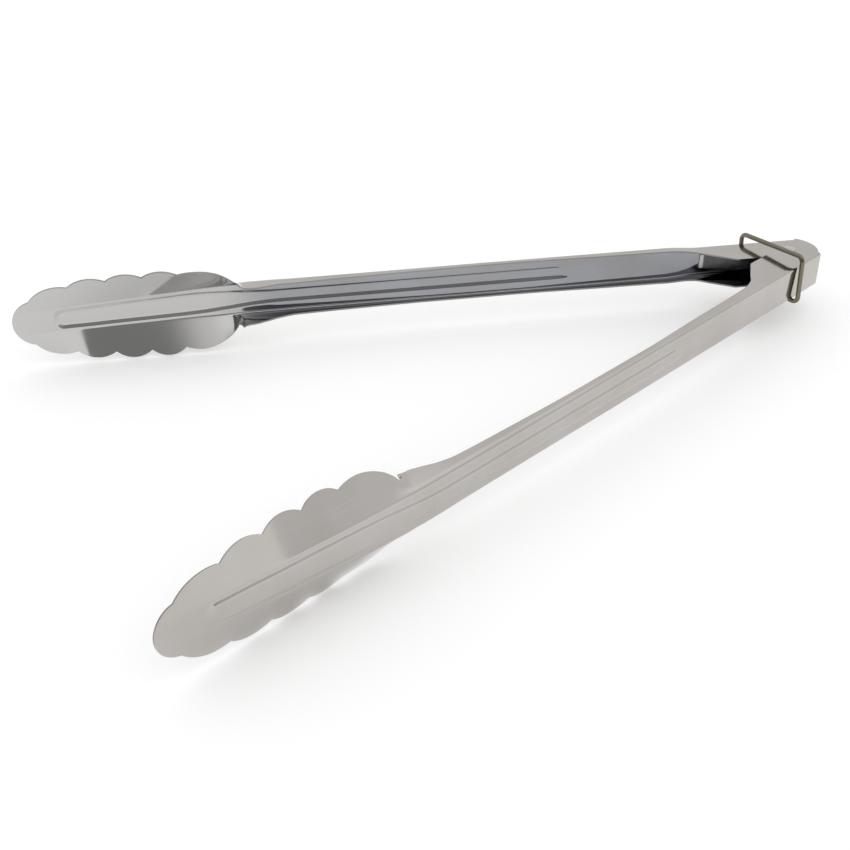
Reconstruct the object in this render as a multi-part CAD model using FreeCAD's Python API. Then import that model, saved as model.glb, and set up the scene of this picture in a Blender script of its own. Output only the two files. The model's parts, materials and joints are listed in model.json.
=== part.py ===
import FreeCAD, Part
import math
import os

from FreeCAD import Placement, Rotation, Vector

# Spring loaded kitchen tongs: two pressed steel arms with scalloped heads, hinged on a cross pin,
# pushed open by a V shaped leaf spring and held shut by a wire ring that slides over both arms.
# Millimetres. The hinge is modelled at the origin with the heads towards -X and the pin along Z.
# "Ahead" is the distance from the pin towards the heads, "depth" the distance inward from the
# outer face of an arm's web. Everything is moved at the end so that the origin is the centre of
# the bottom of the box round the open tongs.

# Overall sizes
HALF_OPENING_DEG = 17.72       # each arm to the middle plane, open
PIN_DEPTH = 14.0               # outer face of the web to the pin's axis
SHEET = 0.8                    # thickness of the arm's sheet
CHANNEL_WIDTH = 18.4           # outside width of the outer arm's channel
EAR_CLEARANCE = 0.3            # between the outer arm's ears and the inner arm's
TIP_AHEAD = 392.7

# Hinge end
EAR_RADIUS = 14.4              # round rear edge of the ears, about the pin
EAR_DEPTH = 18.75
EAR_FRONT = 29.0
WEB_REAR = -7.2                # where the web is cut off behind the pin
JOGGLE_START = 44.0            # the inner arm is narrow up to here
JOGGLE_END = 62.0              # and has its full width from here

# Pressed rib along the middle of the web
RIB_HEIGHT = 0.8
RIB_HALF_WIDTH = 4.0
RIB_SLOPE = 1.0                # width of each sloping side
RIB_FADE = (108.0, 122.0)      # rises over this stretch of the handle
RIB_END = (367.0, 373.0)       # falls over this stretch of the head
RIB_WIDENS = (264.0, 312.0)    # grows over this stretch to nearly the full width of the web
RIB_MARGIN = 0.3               # flat strip left between the wide rib and the bend

# Pin, spring and ring
PIN_RADIUS = 1.6
PIN_HOLE_RADIUS = 1.65
PIN_HEAD_RADIUS = 3.1
PIN_HEAD_HEIGHT = 0.6
PIN_HEAD_GAP = 0.05
SPRING_WIDTH = 7.6
SPRING_SHEET = 0.5
SPRING_EYE_RADIUS = 3.0        # inside of the bend round the pin
SPRING_REACH = 43.0            # ahead of the pin, along the arm
SPRING_GAP = 0.15              # between the end of a leg and the web
RING_WIRE_RADIUS = 1.2
RING_HALF_WIDTH = 20.65        # to the middle of the wire
RING_HALF_HEIGHT = 12.4
RING_CORNER = 3.2
RING_CENTRE = (-11.3, 0.65, 0.9)
RING_LEAN_DEG = -3.0           # the ring hangs a little lower on the inner arm's side
RING_TURN_DEG = 6.0            # and sits further back on the outer arm's side

# Sections of an arm: ahead of the pin, inward shift of the middle, half width of the web,
# bend radius, angle of the flange or wing from the web, length of the flange or wing
HALF_CHANNEL = CHANNEL_WIDTH / 2.0
SECTIONS = [
    (-15.0, 0.0, HALF_CHANNEL, 1.6, 90.0, 17.5),
    (JOGGLE_START, 0.0, HALF_CHANNEL, 1.6, 90.0, 17.5),
    (JOGGLE_END, 0.0, HALF_CHANNEL, 1.6, 90.0, 17.5),
    (RIB_FADE[0], 0.0, HALF_CHANNEL, 1.6, 90.0, 17.5),
    (RIB_FADE[1], 0.0, HALF_CHANNEL, 1.6, 90.0, 17.5),
    (160.0, 0.0, HALF_CHANNEL, 1.6, 90.0, 17.5),
    (200.0, 0.0, HALF_CHANNEL, 1.8, 92.0, 17.5),
    (255.0, 0.0, HALF_CHANNEL, 2.0, 92.0, 17.5),
    (264.0, 0.0, HALF_CHANNEL, 2.0, 88.0, 17.5),
    (278.0, 0.1, 9.1, 2.0, 84.0, 11.6),
    (281.0, 0.2, 9.0, 2.1, 81.0, 11.4),
    (284.0, 0.3, 8.7, 2.2, 68.0, 10.5),
    (288.0, 0.5, 8.4, 2.5, 50.0, 17.0),
    (293.0, 0.8, 8.1, 3.0, 40.0, 18.0),
    (298.0, 1.1, 8.0, 3.0, 37.0, 18.0),
    (305.0, 1.5, 7.8, 3.0, 35.0, 18.0),
    (312.0, 2.1, 7.6, 3.0, 32.0, 18.0),
    (320.0, 2.8, 7.4, 3.0, 28.5, 18.5),
    (329.0, 3.6, 7.2, 3.0, 25.5, 19.0),
    (338.0, 4.3, 7.0, 3.0, 22.5, 19.5),
    (346.0, 5.0, 6.8, 3.0, 19.5, 20.0),
    (355.0, 5.9, 6.6, 3.0, 16.0, 20.0),
    (RIB_END[0], 7.0, 6.2, 3.0, 11.5, 20.0),
    (RIB_END[1], 7.7, 6.0, 3.0, 9.0, 20.0),
    (384.0, 9.1, 5.6, 3.0, 6.0, 20.0),
    (396.0, 9.9, 5.2, 3.0, 5.0, 20.0),
]

# Where two scallops meet, from the tip back: ahead of the pin and distance from the middle
CUSPS = [(383.7, 11.4), (364.4, 17.5), (346.2, 19.4), (328.8, 20.0), (311.9, 20.0)]
SCALLOP_RISE = 3.0
REAR_SCALLOP_END = (284.6, 11.6)
REAR_SCALLOP_RISE = 4.6

# Inner edge of the flanges between ear and head: ahead of the pin and depth
FLANGE_EDGE = [
    (EAR_FRONT, EAR_DEPTH), (41.0, 11.2), (46.2, 7.8), (54.0, 5.9), (98.0, 4.8), (140.0, 3.75),
    (180.0, 3.9), (225.0, 5.0), (256.0, 6.3), (264.0, 7.4), (271.0, 9.6), (277.0, 11.0), (281.6, 11.0),
    (REAR_SCALLOP_END[0], 9.0),
]

# Half size of the blocks that the outlines are extruded to, larger than an arm's section
REACH = 40.0


def between(value, start, end):
    """Share of the way from start to end, held between 0 and 1."""
    return min(1.0, max(0.0, (value - start) / (end - start)))


def rib_height(ahead):
    return RIB_HEIGHT * between(ahead, *RIB_FADE) * (1.0 - between(ahead, *RIB_END))


def half_section(section, narrowing, inset):
    """Corner points of one half of a section, from the middle to the free edge.

    Each point is (distance from the middle, depth); inset 0 is the outer face, SHEET the inner.
    """
    ahead, shift, web_half, radius, angle_deg, length = section
    web_half -= narrowing * (1.0 - between(ahead, JOGGLE_START, JOGGLE_END))
    angle = math.radians(angle_deg)
    bend_start = web_half - radius * math.tan(angle / 2.0)
    widening = between(ahead, *RIB_WIDENS)
    rib_half = RIB_HALF_WIDTH * (1.0 - widening) + (bend_start - RIB_MARGIN) * widening
    top = shift - rib_height(ahead) + inset
    face = shift + inset
    centre = shift + radius
    arm = radius - inset

    def on_bend(turn):
        return bend_start + arm * math.sin(turn), centre - arm * math.cos(turn)

    bend_end = on_bend(angle)
    edge = (bend_end[0] + length * math.cos(angle), bend_end[1] + length * math.sin(angle))
    return [(rib_half - RIB_SLOPE, top), (rib_half, face), (bend_start, face), on_bend(angle / 2.0), bend_end, edge]


def section_wire(section, narrowing):
    """Closed wire round the sheet at one place along the outer arm, closed pose."""
    x = -section[0]

    def at(point, side):
        return Vector(x, point[1] - PIN_DEPTH, side * point[0])

    outer = half_section(section, narrowing, 0.0)
    inner = half_section(section, narrowing, SHEET)
    edges = []

    def run(points, side, forwards):
        rib, foot, start, middle, end, edge = [at(p, side) for p in points]
        steps = [
            Part.LineSegment(rib, foot),
            Part.LineSegment(foot, start),
            Part.Arc(start, middle, end),
            Part.LineSegment(end, edge),
        ]
        if not forwards:
            steps = [
                Part.LineSegment(edge, end),
                Part.Arc(end, middle, start),
                Part.LineSegment(start, foot),
                Part.LineSegment(foot, rib),
            ]
        edges.extend(step.toShape() for step in steps)

    run(outer, -1, False)
    edges.append(Part.LineSegment(at(outer[0], -1), at(outer[0], 1)).toShape())
    run(outer, 1, True)
    edges.append(Part.LineSegment(at(outer[-1], 1), at(inner[-1], 1)).toShape())
    run(inner, 1, False)
    edges.append(Part.LineSegment(at(inner[0], 1), at(inner[0], -1)).toShape())
    run(inner, -1, True)
    edges.append(Part.LineSegment(at(inner[-1], -1), at(outer[-1], -1)).toShape())
    return Part.Wire(edges)


def arc_over(start, end, rise):
    """Circular arc between two points of a plane that bulges to the left of the way from start to end."""
    along = end - start
    left = Vector(-along.z, 0, along.x)
    left.normalize()
    return Part.Arc(start, (start + end) * 0.5 + left * rise, end).toShape()


def plan_outline():
    """Scalloped outline of the head, seen square on to the web, and a plain strip behind it."""
    def at(ahead, off):
        return Vector(-ahead, 0, off)

    upper = []
    stops = [at(*cusp) for cusp in CUSPS]
    for front, back in zip(stops, stops[1:]):
        upper.append(arc_over(front, back, SCALLOP_RISE))
    last = at(*REAR_SCALLOP_END)
    upper.append(arc_over(stops[-1], last, REAR_SCALLOP_RISE))
    corner = at(-REACH, REAR_SCALLOP_END[1])
    upper.append(Part.LineSegment(last, corner).toShape())
    lower = [edge.mirror(Vector(0, 0, 0), Vector(0, 0, 1)) for edge in upper]
    tip = Part.Arc(at(CUSPS[0][0], -CUSPS[0][1]), at(TIP_AHEAD, 0), at(*CUSPS[0])).toShape()
    rear = Part.LineSegment(corner, Vector(corner.x, 0, -corner.z)).toShape()
    wire = Part.Wire(Part.__sortEdges__([tip] + upper + [rear] + lower))
    return Part.Face(wire).extrude(Vector(0, 2.0 * REACH, 0)).translated(Vector(0, -REACH, 0))


def side_outline():
    """Outline of the arm seen along the pin: round ears, shallow flanges, and room for the head."""
    def at(ahead, depth):
        return Vector(-ahead, depth - PIN_DEPTH, 0)

    rear_depth = PIN_DEPTH - math.sqrt(EAR_RADIUS ** 2 - WEB_REAR ** 2)
    ear_back = -math.sqrt(EAR_RADIUS ** 2 - (EAR_DEPTH - PIN_DEPTH) ** 2)
    arc = Part.Arc(at(WEB_REAR, rear_depth), at(-EAR_RADIUS, PIN_DEPTH), at(ear_back, EAR_DEPTH))
    head, beyond = FLANGE_EDGE[-1][0], TIP_AHEAD + REACH
    stops = [at(*stop) for stop in FLANGE_EDGE]
    stops += [at(head, REACH), at(beyond, REACH), at(beyond, -REACH), at(WEB_REAR, -REACH)]
    edges = [arc.toShape(), Part.LineSegment(at(ear_back, EAR_DEPTH), stops[0]).toShape()]
    edges += [Part.LineSegment(a, b).toShape() for a, b in zip(stops, stops[1:])]
    edges.append(Part.LineSegment(stops[-1], at(WEB_REAR, rear_depth)).toShape())
    return Part.Face(Part.Wire(edges)).extrude(Vector(0, 0, 2.0 * REACH)).translated(Vector(0, 0, -REACH))


def arm(narrowing):
    """The arm on the -Y side, closed pose, with its channel narrowed by this much on each side at the ears."""
    sheet = Part.makeLoft([section_wire(section, narrowing) for section in SECTIONS], True, True)
    hole = Part.makeCylinder(PIN_HOLE_RADIUS, 2.0 * REACH, Vector(0, 0, -REACH))
    return sheet.common(side_outline()).common(plan_outline()).cut(hole)


def turned(shape, angle):
    """The shape turned about the pin."""
    out = shape.copy()
    out.Placement = Placement(Vector(0, 0, 0), Rotation(Vector(0, 0, 1), angle)).multiply(out.Placement)
    return out


def outer_arm():
    return turned(arm(0.0), HALF_OPENING_DEG)


def inner_arm():
    flipped = arm(SHEET + EAR_CLEARANCE).mirror(Vector(0, 0, 0), Vector(0, 1, 0))
    return turned(flipped, -HALF_OPENING_DEG)


def hinge_pin():
    half = HALF_CHANNEL + PIN_HEAD_GAP
    shank = Part.makeCylinder(PIN_RADIUS, 2.0 * half, Vector(0, 0, -half))
    ball = (PIN_HEAD_RADIUS ** 2 + PIN_HEAD_HEIGHT ** 2) / (2.0 * PIN_HEAD_HEIGHT)
    dome = Part.makeSphere(ball, Vector(0, 0, half + PIN_HEAD_HEIGHT - ball))
    head = dome.common(Part.makeCylinder(PIN_HEAD_RADIUS, PIN_HEAD_HEIGHT, Vector(0, 0, half)))
    return shank.fuse([head, head.mirror(Vector(0, 0, 0), Vector(0, 0, 1))]).removeSplitter()


def leaf_spring():
    """Strip bent round the back of the pin, its two legs straight out to the webs."""
    opening = math.radians(HALF_OPENING_DEG)
    reach = Vector(-SPRING_REACH, SHEET + SPRING_GAP + SPRING_SHEET / 2.0 - PIN_DEPTH, 0)
    end = Rotation(Vector(0, 0, 1), math.degrees(opening)).multVec(reach)
    eye = SPRING_EYE_RADIUS + SPRING_SHEET / 2.0
    lean = math.atan2(-end.y, -end.x) + math.asin(eye / end.Length)
    touch = Vector(math.sin(lean) * eye, -math.cos(lean) * eye, 0)
    across = Vector(-math.sin(lean), math.cos(lean), 0) * (SPRING_SHEET / 2.0)

    def flip(point):
        return Vector(point.x, -point.y, 0)

    def side(way):
        radius = eye - way * SPRING_SHEET / 2.0
        tail, start = end + across * way, touch + across * way
        return [
            Part.LineSegment(tail, start).toShape(),
            Part.Arc(start, Vector(radius, 0, 0), flip(start)).toShape(),
            Part.LineSegment(flip(start), flip(tail)).toShape(),
        ]

    outside, inside = side(-1), side(1)
    tail_out, tail_in = end - across, end + across
    closing = [
        Part.LineSegment(tail_out, tail_in).toShape(),
        Part.LineSegment(flip(tail_out), flip(tail_in)).toShape(),
    ]
    wire = Part.Wire(Part.__sortEdges__(outside + inside + closing))
    return Part.Face(wire).extrude(Vector(0, 0, SPRING_WIDTH)).translated(Vector(0, 0, -SPRING_WIDTH / 2.0))


def lock_ring():
    """Rectangular loop of round wire with round corners, standing across both arms."""
    across, up, bend = RING_HALF_WIDTH, RING_HALF_HEIGHT, RING_CORNER
    diagonal = bend * (1.0 - math.sqrt(0.5))

    def at(y, z):
        return Vector(0, y, z)

    edges = [Part.LineSegment(at(0, -up), at(across - bend, -up)).toShape()]
    for sy, sz in ((1, -1), (1, 1), (-1, 1), (-1, -1)):
        low = at(sy * (across - bend), sz * up)
        mid = at(sy * (across - diagonal), sz * (up - diagonal))
        side = at(sy * across, sz * (up - bend))
        first, last = (low, side) if sy * sz < 0 else (side, low)
        edges.append(Part.Arc(first, mid, last).toShape())
    corners = edges[1:]
    for a, b in zip(corners, corners[1:]):
        edges.append(Part.LineSegment(a.Vertexes[-1].Point, b.Vertexes[0].Point).toShape())
    edges.append(Part.LineSegment(corners[-1].Vertexes[-1].Point, at(0, -up)).toShape())
    path = Part.Wire(Part.__sortEdges__(edges))
    circle = Part.Wire(Part.makeCircle(RING_WIRE_RADIUS, at(0, -up), Vector(0, 1, 0)))
    loop = path.makePipeShell([circle], True, True)
    turn = Rotation(Vector(0, 0, 1), RING_TURN_DEG) * Rotation(Vector(1, 0, 0), RING_LEAN_DEG)
    loop.Placement = Placement(Vector(*RING_CENTRE), turn)
    return loop


def main():
    os.makedirs("parts", exist_ok=True)
    nodes = {
        "outer_arm": outer_arm(),
        "inner_arm": inner_arm(),
        "hinge_pin": hinge_pin(),
        "leaf_spring": leaf_spring(),
        "lock_ring": lock_ring(),
    }
    box = Part.makeCompound(list(nodes.values())).optimalBoundingBox(False)
    shift = Vector(-(box.XMin + box.XMax) / 2.0, -(box.YMin + box.YMax) / 2.0, -box.ZMin)
    for name, shape in nodes.items():
        placed = shape.translated(shift)
        placed.exportStep("parts/" + name + ".step")
        print(name, "solids", len(placed.Solids), "volume", round(placed.Volume), "valid", placed.isValid())
    print("size", round(box.XLength, 2), round(box.YLength, 2), round(box.ZLength, 2))
    print("hinge", round(shift.x, 4), round(shift.y, 4), round(shift.z, 4))


main()
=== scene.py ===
"""Looks of the spring loaded kitchen tongs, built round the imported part.

The arms are fine sheet meshes in the arms' own coordinates: "ahead" is the distance from the pin
towards the head, "off" the distance from the arm's middle plane, and "depth" the distance inward
from the outer face of the web. Lengths are millimetres until a point is placed.
"""

import bisect
import bmesh
import bpy
import json
import math

from mathutils import Matrix, Vector


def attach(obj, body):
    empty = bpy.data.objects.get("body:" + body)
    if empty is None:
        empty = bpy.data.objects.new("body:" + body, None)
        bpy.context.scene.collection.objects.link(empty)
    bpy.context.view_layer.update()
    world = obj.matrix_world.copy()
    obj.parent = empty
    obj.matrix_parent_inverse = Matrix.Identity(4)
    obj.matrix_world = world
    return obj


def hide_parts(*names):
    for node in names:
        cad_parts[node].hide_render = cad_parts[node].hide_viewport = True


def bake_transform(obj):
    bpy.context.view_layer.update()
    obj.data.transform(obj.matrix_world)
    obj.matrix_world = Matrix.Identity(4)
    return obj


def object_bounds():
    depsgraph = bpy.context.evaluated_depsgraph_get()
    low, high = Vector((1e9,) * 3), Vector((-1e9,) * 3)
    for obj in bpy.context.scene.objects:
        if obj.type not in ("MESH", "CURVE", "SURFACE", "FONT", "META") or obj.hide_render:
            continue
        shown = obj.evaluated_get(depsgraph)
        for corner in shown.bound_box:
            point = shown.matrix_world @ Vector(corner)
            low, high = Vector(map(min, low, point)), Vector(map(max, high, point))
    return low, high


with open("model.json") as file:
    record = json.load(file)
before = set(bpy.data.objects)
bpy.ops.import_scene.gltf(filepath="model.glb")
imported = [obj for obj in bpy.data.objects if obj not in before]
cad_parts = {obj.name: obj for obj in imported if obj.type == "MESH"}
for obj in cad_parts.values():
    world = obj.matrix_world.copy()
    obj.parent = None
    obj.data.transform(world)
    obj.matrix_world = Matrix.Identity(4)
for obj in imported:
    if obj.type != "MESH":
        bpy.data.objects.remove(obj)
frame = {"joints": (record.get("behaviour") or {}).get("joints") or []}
cad_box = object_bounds()

MM = 0.001

# Arms
HALF_OPENING = math.radians(17.72)   # each arm to the middle plane, open
CHANNEL_WIDTH = 18.4
HALF_CHANNEL = CHANNEL_WIDTH / 2.0
PIN_DEPTH = 14.0
SHEET = 0.8
EAR_CLEARANCE = 0.3
TIP_AHEAD = 392.7
EAR_RADIUS = 14.4
EAR_DEPTH = 18.75
WEB_REAR = -7.2
EAR_WARP_END = 20.0            # the columns follow the round ears up to here
JOGGLE = (44.0, 62.0)
RIB_HEIGHT = 0.8
RIB_HALF_WIDTH = 4.0
RIB_SLOPE = (2.2, 2.4)         # width of each sloping side on the handle and on the head
RIB_FADE = (108.0, 122.0)
RIB_END = 373.5
RIB_WIDENS = (264.0, 312.0)
RIB_MARGIN = 0.3               # flat strip between the wide rib and the bend
RIM_ROUND = 0.12               # how far the corners of the sheet's cut edge are rounded

# Ahead of the pin, inward shift of the middle, half width of the web, bend radius, angle of the flange
SECTIONS = [
    (-15.0, 0.0, HALF_CHANNEL, 1.6, 90.0),
    (160.0, 0.0, HALF_CHANNEL, 1.6, 90.0),
    (200.0, 0.0, HALF_CHANNEL, 1.8, 92.0),
    (255.0, 0.0, HALF_CHANNEL, 2.0, 92.0),
    (264.0, 0.0, HALF_CHANNEL, 2.0, 88.0),
    (278.0, 0.1, 9.1, 2.0, 84.0),
    (281.0, 0.2, 9.0, 2.1, 81.0),
    (284.0, 0.3, 8.7, 2.2, 68.0),
    (288.0, 0.5, 8.4, 2.5, 50.0),
    (293.0, 0.8, 8.1, 3.0, 40.0),
    (298.0, 1.1, 8.0, 3.0, 37.0),
    (305.0, 1.5, 7.8, 3.0, 35.0),
    (312.0, 2.1, 7.6, 3.0, 32.0),
    (320.0, 2.8, 7.4, 3.0, 28.5),
    (329.0, 3.6, 7.2, 3.0, 25.5),
    (338.0, 4.3, 7.0, 3.0, 22.5),
    (346.0, 5.0, 6.8, 3.0, 19.5),
    (355.0, 5.9, 6.6, 3.0, 16.0),
    (367.0, 7.0, 6.2, 3.0, 11.5),
    (373.0, 7.7, 6.0, 3.0, 9.0),
    (384.0, 9.1, 5.6, 3.0, 6.0),
    (396.0, 9.9, 5.2, 3.0, 5.0),
]
# Where two scallops meet, from the tip back: ahead of the pin and distance from the middle
CUSPS = [(383.7, 11.4), (364.4, 17.5), (346.2, 19.4), (328.8, 20.0), (311.9, 20.0), (284.6, 11.6)]
SCALLOP_RISES = [3.0, 3.0, 3.0, 3.0, 4.6]
# Inner edge of the flanges between ear and head: ahead of the pin and depth
FLANGE_EDGE = [
    (29.0, 18.75), (41.0, 11.2), (46.2, 7.8), (54.0, 5.9), (98.0, 4.8), (140.0, 3.75), (180.0, 3.9),
    (225.0, 5.0), (256.0, 6.3), (264.0, 7.4), (271.0, 9.6), (277.0, 11.0), (281.6, 11.0), (284.6, 9.0),
]

# Pin, spring and ring
PIN_RADIUS = 1.6
PIN_HOLE_RADIUS = 1.65
PIN_HEAD_RADIUS = 3.1
PIN_HEAD_HEIGHT = 0.6
PIN_HEAD_GAP = 0.05
SPRING_WIDTH = 7.6
SPRING_SHEET = 0.5
SPRING_EYE_RADIUS = 3.0
SPRING_REACH = 43.0
SPRING_GAP = 0.15
RING_WIRE_RADIUS = 1.2
RING_HALF_WIDTH = 20.65
RING_HALF_HEIGHT = 12.4
RING_CORNER = 3.2
RING_CENTRE = (-11.3, 0.65, 0.9)
RING_LEAN = math.radians(-3.0)
RING_TURN = math.radians(6.0)
RING_SEAM = 0.16               # gap where the two ends of the wire meet

# Finish of the steel: noise cells per metre, and metres
BRUSH_LINES = (14.0, 1600.0, 1.0)    # along and across the sheet
BLANK_LINES = (300.0, 300.0, 300.0)  # on round wire, which has no direction of its own here
BRUSH_DEPTH = 0.00002
MARK_CELLS = 90.0
SMUDGE_CELLS = 28.0

# Spacing of the mesh
HANDLE_STEP = 4.0
NECK_STEP = 1.0
HEAD_STEP = 0.8
NECK_START = 252.0
TIP_COLUMNS = 26
ROWS = (
    [("rib", i / 4.0) for i in range(4)]
    + [("slope", i / 6.0) for i in range(6)]
    + [("flat", i / 4.0) for i in range(4)]
    + [("bend", i / 8.0) for i in range(8)]
    + [("wing", i / 16.0) for i in range(17)]
)

# Stage and camera, in metres and degrees; azimuth 0 looks along +Y, 90 along -X
ROOM_RADIUS = 4.0
FLOOR_HALF = 5.0
FLOOR_GAP = 0.0004
CAMERA_TARGET = Vector((-0.2358585, -0.04815, 0.0))  # from the hinge
CAMERA_DISTANCE = 0.49166
CAMERA_AZIMUTH, CAMERA_ELEVATION, CAMERA_ROLL = -26.28, 33.18, -0.81
CAMERA_LENS = 49.88

hinge = next(Vector(j["pos_m"]) for j in frame["joints"] if j["name"] == "outer_arm_hinge")


# Curves

def between(value, start, end):
    return min(1.0, max(0.0, (value - start) / (end - start)))


def eased(value, start, end):
    t = between(value, start, end)
    return t * t * (3.0 - 2.0 * t)


def tangents(points):
    """Slope of a smooth curve at each point, chosen so that the curve doesn't overshoot."""
    steps = [(b[1] - a[1]) / (b[0] - a[0]) for a, b in zip(points, points[1:])]
    inner = [0.0 if a * b <= 0.0 else 2.0 * a * b / (a + b) for a, b in zip(steps, steps[1:])]
    return [steps[0]] + inner + [steps[-1]]


def curve_value(points, slopes, x):
    """Value at x of the smooth curve through the points."""
    i = bisect.bisect_right([p[0] for p in points], x) - 1
    i = min(max(i, 0), len(points) - 2)
    (x0, y0), (x1, y1) = points[i], points[i + 1]
    h = x1 - x0
    t = min(1.0, max(0.0, (x - x0) / h))
    rise, ease = y1 - y0, t * t * (3.0 - 2.0 * t)
    return y0 + rise * ease + h * t * (1.0 - t) * (slopes[i] * (1.0 - t) - slopes[i + 1] * t)


SECTION_CURVES = [[(s[0], s[k]) for s in SECTIONS] for k in range(1, 5)]
SECTION_SLOPES = [tangents(curve) for curve in SECTION_CURVES]
FLANGE_SLOPES = tangents(FLANGE_EDGE)


# Shape of an arm

class Section:
    """One cross section of an arm: where each point of the sheet's outer or inner face lies."""

    def __init__(self, ahead, narrowing):
        values = [curve_value(c, s, ahead) for c, s in zip(SECTION_CURVES, SECTION_SLOPES)]
        self.shift, web_half, self.radius, angle_deg = values
        web_half -= narrowing * (1.0 - eased(ahead, *JOGGLE))
        self.angle = math.radians(angle_deg)
        self.bend_start = web_half - self.radius * math.tan(self.angle / 2.0)
        wide = eased(ahead, *RIB_WIDENS)
        self.rib_half = RIB_HALF_WIDTH * (1.0 - wide) + (self.bend_start - RIB_MARGIN) * wide
        self.rib = RIB_HEIGHT * eased(ahead, *RIB_FADE)
        self.slope = RIB_SLOPE[0] * (1.0 - wide) + RIB_SLOPE[1] * wide
        self.past = max(0.0, ahead - (RIB_END - self.rib_half))
        self.bend_off = self.bend_start + self.radius * math.sin(self.angle)
        self.bend_depth = self.shift + self.radius * (1.0 - math.cos(self.angle))
        self.length = edge_length(ahead, self)

    def point(self, zone, share, inset):
        """(off, depth) of a point of one half; inset 0 is the outer face, SHEET the inner."""
        top = self.rib_edge(self.rib_half - self.slope, 0.6)
        foot = self.rib_edge(self.rib_half, top + 0.6)
        if zone in ("rib", "slope", "flat"):
            off = {
                "rib": top * share,
                "slope": top + (foot - top) * share,
                "flat": foot + (self.bend_start - foot) * share,
            }[zone]
            return off, self.shift - self.rib_height(off) + inset
        turn = self.angle * (share if zone == "bend" else 1.0)
        arm = self.radius - inset
        off = self.bend_start + arm * math.sin(turn)
        depth = self.shift + self.radius - arm * math.cos(turn)
        if zone == "wing":
            off += self.length * share * math.cos(self.angle)
            depth += self.length * share * math.sin(self.angle)
        return off, depth

    def rib_edge(self, half, least):
        """Half width of a contour of the rib, which closes in round its end."""
        if self.past >= half:
            return least
        return max(least, (half ** 3 - self.past ** 3) ** (1.0 / 3.0))

    def rib_height(self, off):
        reach = (self.past ** 3 + off ** 3) ** (1.0 / 3.0)
        return self.rib * (1.0 - eased(reach, self.rib_half - self.slope, self.rib_half))

    def depth_at(self, off):
        """Depth of the outer face at a distance from the middle, where there is no rib."""
        if off <= self.bend_start:
            return self.shift
        if off <= self.bend_off:
            return self.shift + self.radius - math.sqrt(self.radius ** 2 - (off - self.bend_start) ** 2)
        return self.bend_depth + (off - self.bend_off) * math.tan(self.angle)


def scallop_off(ahead):
    """Distance of the scalloped edge from the middle of the arm, behind the tip's arc."""
    if ahead <= CUSPS[-1][0]:
        return CUSPS[-1][1]
    for front, back, rise in zip(CUSPS, CUSPS[1:], SCALLOP_RISES):
        if back[0] <= ahead <= front[0]:
            break
    half = math.dist(front, back) / 2.0
    radius = (half * half + rise * rise) / (2.0 * rise)
    ux, uy = (front[0] - back[0]) / (2.0 * half), (front[1] - back[1]) / (2.0 * half)
    middle_x, middle_y = (front[0] + back[0]) / 2.0, (front[1] + back[1]) / 2.0
    centre_x, centre_y = middle_x + uy * (radius - rise), middle_y - ux * (radius - rise)
    return centre_y + math.sqrt(max(0.0, radius ** 2 - (ahead - centre_x) ** 2))


def edge_length(ahead, section):
    """Length of the flange or wing beyond the bend, up to the cut edge of the sheet."""
    limits = []
    if ahead < CUSPS[-1][0]:
        depth = EAR_DEPTH if ahead < FLANGE_EDGE[0][0] else curve_value(FLANGE_EDGE, FLANGE_SLOPES, ahead)
        limits.append((depth - section.bend_depth) / math.sin(section.angle))
    if math.cos(section.angle) > 0.1:
        limits.append((scallop_off(ahead) - section.bend_off) / math.cos(section.angle))
    return min(limits)


def rear_end(depth):
    """Where the sheet ends behind the pin at a depth: straight across the web, round on the ears."""
    corner = PIN_DEPTH - math.sqrt(EAR_RADIUS ** 2 - WEB_REAR ** 2)
    if depth <= corner:
        return WEB_REAR
    return -math.sqrt(EAR_RADIUS ** 2 - (PIN_DEPTH - depth) ** 2)


def steps(start, end, step):
    count = max(1, round((end - start) / step))
    return [start + (end - start) * i / count for i in range(count)]


def column_places():
    """Distances ahead of the pin at which the sheet has a column of points, up to the last cusp."""
    fine = [CUSPS[-1][0]] + [cusp[0] for cusp in reversed(CUSPS[:-1])]
    places = steps(WEB_REAR, EAR_WARP_END, 2.0) + steps(EAR_WARP_END, RIB_FADE[0], 1.5)
    places += steps(RIB_FADE[0], RIB_FADE[1], 1.0) + steps(RIB_FADE[1], NECK_START, HANDLE_STEP)
    places += steps(NECK_START, 278.0, NECK_STEP) + steps(278.0, fine[0], 0.4)
    for a, b in zip(fine, fine[1:]):
        places += steps(a, b, HEAD_STEP)
    return places + [fine[-1]]


def sheet_columns(narrowing):
    """Grid of the arm's sheet: for each column the outer and the inner points of one half."""
    columns = []
    for ahead in column_places():
        section = Section(ahead, narrowing)
        pair = []
        for inset in (0.0, SHEET):
            points = []
            for zone, share in ROWS:
                off, depth = section.point(zone, share, inset)
                place = ahead
                if ahead < EAR_WARP_END:
                    share_back = (EAR_WARP_END - ahead) / (EAR_WARP_END - WEB_REAR)
                    place = EAR_WARP_END + (rear_end(depth) - EAR_WARP_END) * share_back
                points.append((place, off, depth))
            pair.append(points)
        columns.append(pair)
    return columns + tip_columns(columns[-1])


def tip_columns(last):
    """Columns of the round tip: the rows close in with the outline and keep to the section's face."""
    ahead, half = CUSPS[0]
    rise = TIP_AHEAD - ahead
    radius = (half ** 2 + rise ** 2) / (2.0 * rise)
    centre = TIP_AHEAD - radius
    shares = [point[1] / last[0][-1][1] for point in last[0]]
    widest = math.asin(half / radius)
    columns = []
    for i in range(1, TIP_COLUMNS):
        turn = widest * (1.0 - i / TIP_COLUMNS)
        place, width = centre + radius * math.cos(turn), radius * math.sin(turn)
        section = Section(place, 0.0)
        pair = []
        for inset in (0.0, SHEET):
            pair.append([(place, s * width, section.depth_at(s * width) + inset) for s in shares])
        columns.append(pair)
    return columns


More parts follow.
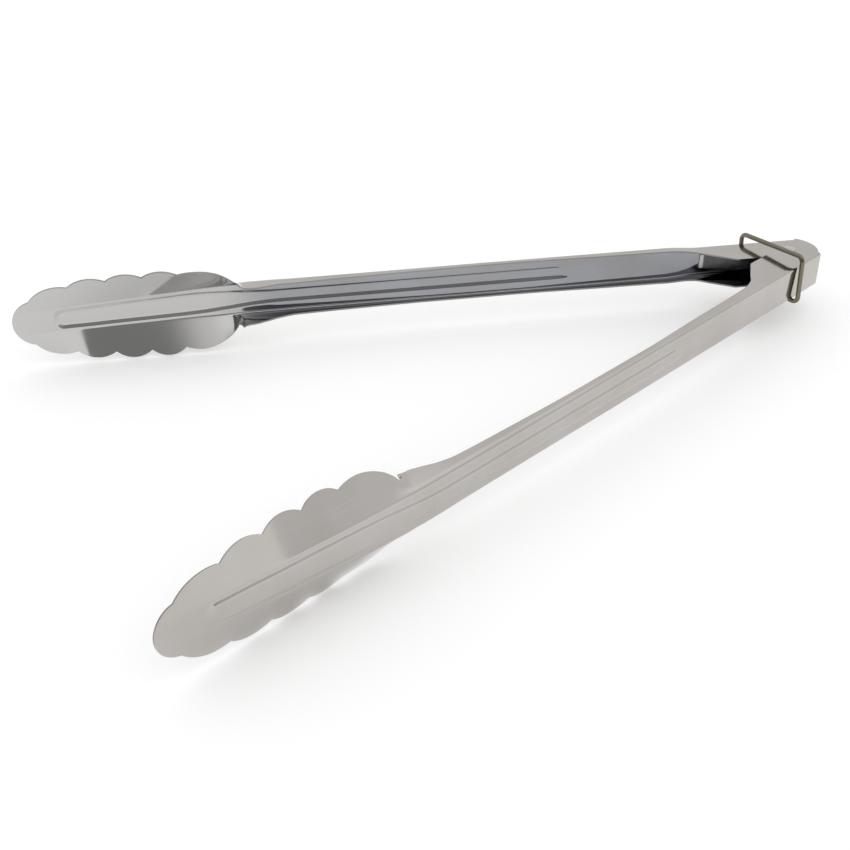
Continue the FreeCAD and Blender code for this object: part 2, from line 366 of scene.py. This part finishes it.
def developed(points):
    """Distance along a section's face from its middle to each point, for the brushing."""
    lengths = [points[0][1]]
    for a, b in zip(points, points[1:]):
        lengths.append(lengths[-1] + math.dist(a[1:], b[1:]))
    return lengths


def arm_point(side, ahead, off, depth):
    """Row frame position of a point of an arm, open; side -1 is the outer arm, 1 the inner."""
    turn = Matrix.Rotation(-side * HALF_OPENING, 4, "Z")
    return hinge + turn @ Vector((-ahead * MM, side * (PIN_DEPTH - depth) * MM, off * MM))


def new_object(name, bm, *materials):
    mesh = bpy.data.meshes.new(name)
    bm.to_mesh(mesh)
    bm.free()
    obj = bpy.data.objects.new(name, mesh)
    bpy.context.scene.collection.objects.link(obj)
    for material in materials:
        mesh.materials.append(material)
    return obj


def smooth_by_angle(bm, degrees):
    for face in bm.faces:
        face.smooth = True
    for edge in bm.edges:
        edge.smooth = len(edge.link_faces) == 2 and edge.calc_face_angle(0.0) < math.radians(degrees)


def cut_pin_holes(obj):
    """Cuts the hole for the pin through both ears."""
    bm = bmesh.new()
    radius = PIN_HOLE_RADIUS * MM
    bmesh.ops.create_cone(bm, segments=48, radius1=radius, radius2=radius, depth=60.0 * MM, cap_ends=True)
    bmesh.ops.translate(bm, verts=bm.verts, vec=hinge)
    drill = new_object("drill", bm, *obj.data.materials)
    cut = obj.modifiers.new("hole", "BOOLEAN")
    cut.operation, cut.solver, cut.object = "DIFFERENCE", "EXACT", drill
    bpy.context.view_layer.update()
    evaluated = obj.evaluated_get(bpy.context.evaluated_depsgraph_get())
    mesh = bpy.data.meshes.new_from_object(evaluated)
    obj.modifiers.clear()
    obj.data = mesh
    bpy.data.objects.remove(drill)


def make_arm(name, side, narrowing, materials):
    """The whole pressed sheet of one arm, as a closed mesh with a UV map along and round the sheet.

    The materials are those of the outer face, the inner face and the cut edge.
    """
    columns = sheet_columns(narrowing)
    count = len(ROWS)
    bm = bmesh.new()
    uv = bm.loops.layers.uv.new("sheet")
    places = {}

    def ring(points, face):
        """Points of one face of one column, from one free edge over the middle to the other."""
        lengths = developed(points)
        out = []
        for way in (-1, 1):
            order = range(count - 1, 0, -1) if way < 0 else range(count)
            for i in order:
                ahead, off, depth = points[i]
                if i == count - 1:
                    off, depth = rounded_rim(points, face)
                vert = bm.verts.new(arm_point(side, ahead, way * off, depth))
                places[vert] = (ahead * MM, way * lengths[i] * MM)
                out.append(vert)
        return out

    outer = [ring(pair[0], 0) for pair in columns]
    inner = [ring(pair[1], 1) for pair in columns]
    quads = []
    for k in range(len(columns) - 1):
        for i in range(2 * count - 2):
            quads.append((0, outer[k][i], outer[k][i + 1], outer[k + 1][i + 1], outer[k + 1][i]))
            quads.append((1, inner[k][i], inner[k + 1][i], inner[k + 1][i + 1], inner[k][i + 1]))
        for i in (0, -1):
            quads.append((2, outer[k][i], outer[k + 1][i], inner[k + 1][i], inner[k][i]))
    for k in (0, -1):
        for i in range(2 * count - 2):
            quads.append((2, outer[k][i], inner[k][i], inner[k][i + 1], outer[k][i + 1]))
    for part, *quad in quads:
        face = bm.faces.new(quad)
        face.material_index = part
        for loop in face.loops:
            loop[uv].uv = places[loop.vert]
    bmesh.ops.recalc_face_normals(bm, faces=bm.faces)
    obj = new_object(name, bm, *materials)
    cut_pin_holes(obj)
    bm = bmesh.new()
    bm.from_mesh(obj.data)
    smooth_by_angle(bm, 32.0)
    bm.to_mesh(obj.data)
    bm.free()
    return obj


def rounded_rim(points, face):
    """The last point of a face, drawn back a little so that the cut edge isn't knife sharp."""
    (_, off, depth), (_, off_before, depth_before) = points[-1], points[-2]
    length = math.hypot(off - off_before, depth - depth_before)
    share = min(0.5, RIM_ROUND / max(length, 1e-6)) if face == 1 else 0.0
    return off + (off_before - off) * share, depth + (depth_before - depth) * share


# Pin, spring and ring

def tube(name, path, radius, sides, closed, material):
    """Round wire along a path of row frame points that lies in one plane."""
    bm = bmesh.new()
    normal = (path[1] - path[0]).cross(path[len(path) // 3] - path[0]).normalized()
    rings = []
    for i, point in enumerate(path):
        before = path[i - 1] if closed or i > 0 else point
        after = path[(i + 1) % len(path)] if closed or i < len(path) - 1 else point
        ahead = (after - before).normalized()
        across = ahead.cross(normal)
        ring = []
        for k in range(sides):
            turn = 2.0 * math.pi * k / sides
            ring.append(bm.verts.new(point + radius * (math.cos(turn) * across + math.sin(turn) * normal)))
        rings.append(ring)
    count = len(rings) if closed else len(rings) - 1
    for i in range(count):
        a, b = rings[i], rings[(i + 1) % len(rings)]
        for k in range(sides):
            bm.faces.new((a[k], a[(k + 1) % sides], b[(k + 1) % sides], b[k]))
    if not closed:
        bm.faces.new(rings[0])
        bm.faces.new(list(reversed(rings[-1])))
    bmesh.ops.recalc_face_normals(bm, faces=bm.faces)
    smooth_by_angle(bm, 40.0)
    return new_object(name, bm, material)


def make_ring(material):
    """Wire loop round both arms; its two ends meet in the middle of the lower strand."""
    across, up, bend = RING_HALF_WIDTH, RING_HALF_HEIGHT, RING_CORNER
    outline = [(RING_SEAM / 2.0, -up)]
    for sy, sz, start in ((1, -1, -90), (1, 1, 0), (-1, 1, 90), (-1, -1, 180)):
        for i in range(13):
            turn = math.radians(start + 90.0 * i / 12.0)
            y = sy * (across - bend) + bend * math.cos(turn)
            z = sz * (up - bend) + bend * math.sin(turn)
            outline.append((y, z))
    outline.append((-RING_SEAM / 2.0, -up))
    turn = Matrix.Rotation(RING_TURN, 3, "Z") @ Matrix.Rotation(RING_LEAN, 3, "X")
    path = [hinge + MM * (turn @ Vector((0.0, y, z)) + Vector(RING_CENTRE)) for y, z in outline]
    return tube("ring_wire", path, RING_WIRE_RADIUS * MM, 28, False, material)


def make_pin(material):
    """Cross pin with a low dome riveted over at both ends."""
    half = HALF_CHANNEL + PIN_HEAD_GAP
    ball = (PIN_HEAD_RADIUS ** 2 + PIN_HEAD_HEIGHT ** 2) / (2.0 * PIN_HEAD_HEIGHT)
    top = [(PIN_RADIUS, half), (PIN_HEAD_RADIUS - 0.12, half), (PIN_HEAD_RADIUS, half + 0.08)]
    for i in range(1, 12):
        radius = PIN_HEAD_RADIUS * (1.0 - i / 11.0)
        top.append((radius, half + PIN_HEAD_HEIGHT - ball + math.sqrt(ball ** 2 - radius ** 2)))
    profile = [(r, -z) for r, z in reversed(top)] + top
    bm = bmesh.new()
    verts = [bm.verts.new(hinge + MM * Vector((r, 0.0, z))) for r, z in profile]
    edges = [bm.edges.new(pair) for pair in zip(verts, verts[1:])]
    bmesh.ops.spin(
        bm, geom=verts + edges, cent=hinge, axis=(0.0, 0.0, 1.0), angle=2.0 * math.pi, steps=48, use_merge=True
    )
    bmesh.ops.remove_doubles(bm, verts=bm.verts, dist=1e-6)
    bmesh.ops.recalc_face_normals(bm, faces=bm.faces)
    smooth_by_angle(bm, 35.0)
    return new_object("pin_rivet", bm, material)


def make_strip(name, path, material):
    """Flat strip of the spring along a path in the plane across the pin; path is (x, y) in mm."""
    half, thick, soft = SPRING_WIDTH / 2.0, SPRING_SHEET / 2.0, 0.12
    profile = [
        (-half + soft, -thick), (half - soft, -thick), (half, -thick + soft), (half, thick - soft),
        (half - soft, thick), (-half + soft, thick), (-half, thick - soft), (-half, -thick + soft),
    ]
    bm = bmesh.new()
    uv = bm.loops.layers.uv.new("sheet")
    places = {}
    rings = []
    travelled = 0.0
    for i, (x, y) in enumerate(path):
        before, after = path[max(0, i - 1)], path[min(len(path) - 1, i + 1)]
        travelled += math.dist(path[max(0, i - 1)], (x, y))
        run = Vector((after[0] - before[0], after[1] - before[1])).normalized()
        ring = []
        for z, t in profile:
            vert = bm.verts.new(hinge + MM * Vector((x - run.y * t, y + run.x * t, z)))
            places[vert] = (travelled * MM, z * MM)
            ring.append(vert)
        rings.append(ring)
    for a, b in zip(rings, rings[1:]):
        for k in range(len(profile)):
            bm.faces.new((a[k], a[(k + 1) % len(profile)], b[(k + 1) % len(profile)], b[k]))
    bm.faces.new(rings[0])
    bm.faces.new(list(reversed(rings[-1])))
    for face in bm.faces:
        for loop in face.loops:
            loop[uv].uv = places[loop.vert]
    bmesh.ops.recalc_face_normals(bm, faces=bm.faces)
    smooth_by_angle(bm, 30.0)
    return new_object(name, bm, material)


def make_spring(material):
    """Leaf spring: an eye round the back of the pin and a leg out to each web."""
    reach = Vector((-SPRING_REACH, SHEET + SPRING_GAP + SPRING_SHEET / 2.0 - PIN_DEPTH))
    end = Matrix.Rotation(HALF_OPENING, 2) @ reach
    eye = SPRING_EYE_RADIUS + SPRING_SHEET / 2.0
    lean = math.atan2(-end.y, -end.x) + math.asin(eye / end.length)
    touch = Vector((math.sin(lean), -math.cos(lean))) * eye
    start = math.atan2(touch.y, touch.x)
    arc = [start + (-2.0 * start) * i / 48.0 for i in range(49)]
    piece = make_strip("spring_eye", [(eye * math.cos(t), eye * math.sin(t)) for t in arc], material)
    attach(piece, "hinge")
    finish_piece("leaf_spring")
    for side, body in ((-1, "outer_arm_body"), (1, "inner_arm_body")):
        leg = []
        for i in range(29):
            point = touch.lerp(end, i / 28.0)
            leg.append((point.x, -side * point.y))
        name = "spring_leg_outer" if side < 0 else "spring_leg_inner"
        piece = make_strip(name, leg, material)
        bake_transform(piece)
        finish_piece("leaf_spring")


def finish_piece(node):
    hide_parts(node)


# Shader nodes

def node(tree, kind, inputs=(), output=0, **settings):
    """New shader node; inputs are linked or set by index, and None leaves a socket alone."""
    made = tree.nodes.new(kind)
    for key, value in settings.items():
        setattr(made, key, value)
    for index, value in inputs.items() if isinstance(inputs, dict) else enumerate(inputs):
        if isinstance(value, bpy.types.NodeSocket):
            tree.links.new(value, made.inputs[index])
        elif value is not None:
            made.inputs[index].default_value = value
    return made.outputs[output] if made.outputs else None


def math_node(tree, operation, *inputs):
    return node(tree, "ShaderNodeMath", inputs, operation=operation)


def add(tree, a, b):
    return math_node(tree, "ADD", a, b)


def times(tree, a, b):
    return math_node(tree, "MULTIPLY", a, b)


def ramp(tree, value, start, end, low, high):
    """Smooth change from low to high while the value goes from start to end."""
    return node(tree, "ShaderNodeMapRange", (value, start, end, low, high), interpolation_type="SMOOTHSTEP")


def mix(tree, share, low, high):
    """Low where the share is 0, high where it is 1."""
    return add(tree, low, times(tree, share, math_node(tree, "SUBTRACT", high, low)))


def mix_colour(tree, share, low, high):
    return node(tree, "ShaderNodeMix", {0: share, 6: low, 7: high}, output=2, data_type="RGBA")


def noise(tree, vector, scale, detail):
    return node(tree, "ShaderNodeTexNoise", (vector, None, scale, detail))


def new_material(name):
    material = bpy.data.materials.new(name)
    material.use_nodes = True
    return material, material.node_tree


# Materials

def steel(name, colour, rough, spread, brushing, lines=BRUSH_LINES, coords="UV", end=None):
    """Steel with fine brushing, uneven polish and faint warm smudges from handling.

    An end changes the colour along the piece: where the change starts, where it is over, and the
    colour from there on.
    """
    material, tree = new_material(name)
    shader = tree.nodes["Principled BSDF"]
    shader.inputs["Metallic"].default_value = 1.0
    source = tree.nodes.new("ShaderNodeTexCoord").outputs[coords]
    streaks = noise(tree, node(tree, "ShaderNodeMapping", (source, None, None, lines)), 1.0, 4.0)
    marks = noise(tree, source, MARK_CELLS, 5.0)
    smudges = noise(tree, source, SMUDGE_CELLS, 3.0)
    polish = ramp(tree, add(tree, smudges, marks), 0.7, 1.3, rough - spread, rough + spread)
    tree.links.new(polish, shader.inputs["Roughness"])
    clean = add(tree, times(tree, smudges, 0.75), times(tree, streaks, 0.25))
    red, green, blue = colour
    smudged = (0.95 * red, 0.935 * green, 0.905 * blue, 1.0)
    tone = mix_colour(tree, ramp(tree, clean, 0.38, 0.58, 0.0, 1.0), smudged, (*colour, 1.0))
    if end:
        starts, over, end_colour = end
        along = node(tree, "ShaderNodeSeparateXYZ", (source,))
        tone = mix_colour(tree, ramp(tree, along, starts, over, 0.0, 1.0), tone, (*end_colour, 1.0))
    tree.links.new(tone, shader.inputs["Base Color"])
    bump = node(tree, "ShaderNodeBump", {"Strength": brushing, "Distance": BRUSH_DEPTH, "Height": streaks})
    tree.links.new(bump, shader.inputs["Normal"])
    return material


def floor_material():
    material, tree = new_material("floor_white")
    shader = tree.nodes["Principled BSDF"]
    shader.inputs["Base Color"].default_value = (0.9, 0.9, 0.9, 1.0)
    shader.inputs["Roughness"].default_value = 0.9
    shader.inputs["Specular IOR Level"].default_value = 0.0
    shader.inputs["Emission Color"].default_value = (1.0, 1.0, 1.0, 1.0)
    shader.inputs["Emission Strength"].default_value = 0.15
    return material


# Floor, light and camera

def room_material():
    """The studio as the steel mirrors it: grey walls, darker on one side, under a bright ceiling."""
    material, tree = new_material("room_panel")
    tree.nodes.clear()
    position = node(tree, "ShaderNodeNewGeometry")
    parts = tree.nodes.new("ShaderNodeSeparateXYZ")
    tree.links.new(position, parts.inputs[0])
    x, y, z = parts.outputs
    level_distance = math_node(tree, "SQRT", add(tree, times(tree, x, x), times(tree, y, y)))
    elevation = times(tree, math_node(tree, "ARCTAN2", z, level_distance), 180.0 / math.pi)
    side = times(tree, add(tree, x, y), math.sqrt(0.5) / ROOM_RADIUS)
    wall = ramp(tree, side, -0.9, 0.0, 0.28, 0.82)
    level = mix(tree, ramp(tree, elevation, 25.0, 60.0, 0.0, 1.0), wall, 1.1)
    colour = node(tree, "ShaderNodeCombineXYZ", (level, level, level))
    emission = node(tree, "ShaderNodeEmission", (colour, 1.0))
    node(tree, "ShaderNodeOutputMaterial", (emission,))
    material.cycles.emission_sampling = "NONE"
    return material


def add_floor():
    bm = bmesh.new()
    height = cad_box[0][2] - FLOOR_GAP
    corners = [(-1, -1), (1, -1), (1, 1), (-1, 1)]
    bm.faces.new([bm.verts.new((sx * FLOOR_HALF, sy * FLOOR_HALF, height)) for sx, sy in corners])
    new_object("floor", bm, floor_material())


def add_room():
    """Sphere round everything that lights nothing and shows only in the polished steel."""
    bm = bmesh.new()
    bmesh.ops.create_uvsphere(bm, u_segments=64, v_segments=32, radius=ROOM_RADIUS)
    room = new_object("room_reflector", bm, room_material())
    room.visible_camera = False
    room.visible_diffuse = False
    room.visible_shadow = False
    room.visible_transmission = False
    room.visible_volume_scatter = False


def add_world():
    world = bpy.data.worlds.new("studio")
    bpy.context.scene.world = world
    world.use_nodes = True
    background = world.node_tree.nodes["Background"]
    background.inputs["Color"].default_value = (1.0, 1.0, 1.0, 1.0)
    background.inputs["Strength"].default_value = 1.0


def add_camera():
    azimuth, elevation, roll = map(math.radians, (CAMERA_AZIMUTH, CAMERA_ELEVATION, CAMERA_ROLL))
    back = Vector((
        math.sin(azimuth) * math.cos(elevation),
        -math.cos(azimuth) * math.cos(elevation),
        math.sin(elevation),
    ))
    right = (-back).cross(Vector((0.0, 0.0, 1.0))).normalized()
    up = right.cross(-back)
    tilted_right = right * math.cos(roll) + up * math.sin(roll)
    tilted_up = up * math.cos(roll) - right * math.sin(roll)
    data = bpy.data.cameras.new("camera")
    data.lens = CAMERA_LENS
    data.sensor_width = 36.0
    data.clip_start = 0.01
    camera = bpy.data.objects.new("camera", data)
    axes = Matrix((tilted_right, tilted_up, back)).transposed().to_4x4()
    camera.matrix_world = Matrix.Translation(hinge + CAMERA_TARGET + back * CAMERA_DISTANCE) @ axes
    bpy.context.scene.collection.objects.link(camera)
    bpy.context.scene.camera = camera


add_camera()
add_floor()
add_room()
add_world()

# Painted reflections and shade: the inside faces are painted dark and bluish along the channels for the dark
# reflections there, and lighter in the heads for their bright reflections; the spring is painted dark for the
# shade inside the channels, and only its tips keep the plain steel colour
# painted reflection: the inside faces turn from the dark, bluish channel colour to this lighter colour in the
# heads
painted_head_reflection = (0.262, 0.3, (0.54, 0.535, 0.525))
# painted shade: the spring's dark colour stops near the tips of its legs, which keep the plain steel colour
unshaded_spring_tip = (0.043, 0.0436, (0.55, 0.55, 0.54))
arm_steels = (
    steel("arm_steel_outside", (0.51, 0.49, 0.472), 0.11, 0.035, 0.06),
    # painted reflection: dark, bluish colour inside the channels for the dark reflections there
    steel("arm_steel_inside_painted_reflection", (0.34, 0.345, 0.365), 0.07, 0.02, 0.03, end=painted_head_reflection),
    steel("arm_steel_cut_edge", (0.30, 0.295, 0.285), 0.32, 0.08, 0.3),
)
pin_steel = steel("pin_steel_riveted", (0.55, 0.535, 0.52), 0.14, 0.04, 0.2, BLANK_LINES, "Object")
# painted shade: the spring is dark for the shade inside the channels
painted_shade_spring_steel = steel("spring_steel_painted_shade", (0.12, 0.12, 0.125), 0.26, 0.06, 0.4, end=unshaded_spring_tip)
# partly painted shade: the wire's warm brown base colour is kept dark to stand in for the dark reflections and
# shade on it
painted_shade_ring_steel = steel("ring_wire_painted_shade", (0.20, 0.18, 0.14), 0.15, 0.04, 0.3, BLANK_LINES, "Object")

for arm_name, arm_side, arm_narrowing in (("outer", -1, 0.0), ("inner", 1, SHEET + EAR_CLEARANCE)):
    arm = make_arm(arm_name + "_arm_sheet", arm_side, arm_narrowing, arm_steels)
    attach(arm, arm_name + "_arm_body")
    finish_piece(arm_name + "_arm")

make_spring(painted_shade_spring_steel)

pin = make_pin(pin_steel)
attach(pin, "hinge")
finish_piece("hinge_pin")

ring_wire = make_ring(painted_shade_ring_steel)
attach(ring_wire, "ring_body")
finish_piece("lock_ring")

bpy.context.scene.view_settings.view_transform = "Standard"
